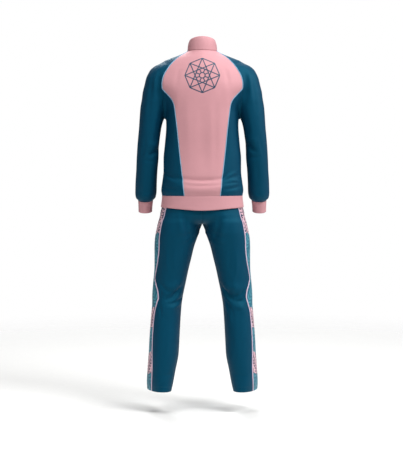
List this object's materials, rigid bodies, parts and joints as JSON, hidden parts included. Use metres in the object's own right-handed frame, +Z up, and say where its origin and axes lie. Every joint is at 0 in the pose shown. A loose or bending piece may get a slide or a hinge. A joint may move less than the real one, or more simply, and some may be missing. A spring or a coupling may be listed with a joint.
{
  "type": "tracksuit, jacket and trousers",
  "caption": "Zipped jacket with raglan sleeves, stand collar and contrast bands, and straight trousers with printed side panels, in the form they take when worn.",
  "frame": {"origin": "middle of the neck ring, at the height of the collar's seam behind and at the sides", "axes": "+Z up along the wearer, -Y out of the wearer's chest, +Y out of the back, +X towards the wearer's left"},
  "size_m": [0.5896, 0.2618, 1.5362],
  "materials": {
    "pink knit": "matt",
    "pink rib": "matt",
    "teal knit": "matt",
    "printed side panel": "matt",
    "pale blue piping": "satin",
    "lilac stripe": "satin",
    "zip tape": "matt",
    "zip teeth": "satin",
    "zip metal": "satin"
  },
  "bodies": {
    "suit": {"jacket_back": "pink knit", "collar": "pink rib", "hem_band": "pink rib", "waistband": "teal knit", "zip_teeth": "zip teeth", "zip_slider": "zip metal", "jacket_front_left": "pink knit", "jacket_front_right": "pink knit", "jacket_side_left": "teal knit", "jacket_side_right": "teal knit", "sleeve_left": "teal knit", "sleeve_right": "teal knit", "trouser_back_left": "teal knit", "trouser_back_right": "teal knit", "trouser_front_left": "teal knit", "trouser_front_right": "teal knit", "trouser_side_left": "printed side panel", "trouser_side_right": "printed side panel", "cuff_left": "pink rib", "cuff_right": "pink rib", "zip_tape_left": "zip tape", "zip_tape_right": "zip tape", "raglan_piping_back_left": "pale blue piping", "raglan_piping_back_right": "pale blue piping", "raglan_piping_front_left": "pale blue piping", "raglan_piping_front_right": "pale blue piping", "side_piping_back_left": "pale blue piping", "side_piping_back_right": "pale blue piping", "side_piping_front_left": "pale blue piping", "side_piping_front_right": "pale blue piping", "side_stripe_back_left": "lilac stripe", "side_stripe_back_right": "lilac stripe", "side_stripe_front_left": "lilac stripe", "side_stripe_front_right": "lilac stripe"},
    "pull_tab": {"zip_pull": "zip metal"}
  },
  "joints": [
    {"name": "pull_tab_swing", "type": "hinge", "parent": "suit", "child": "pull_tab", "pos_m": [0, -0.07833, 0.01086], "axis": [-1, 0, 0], "range_deg": [0, 150]}
  ]
}
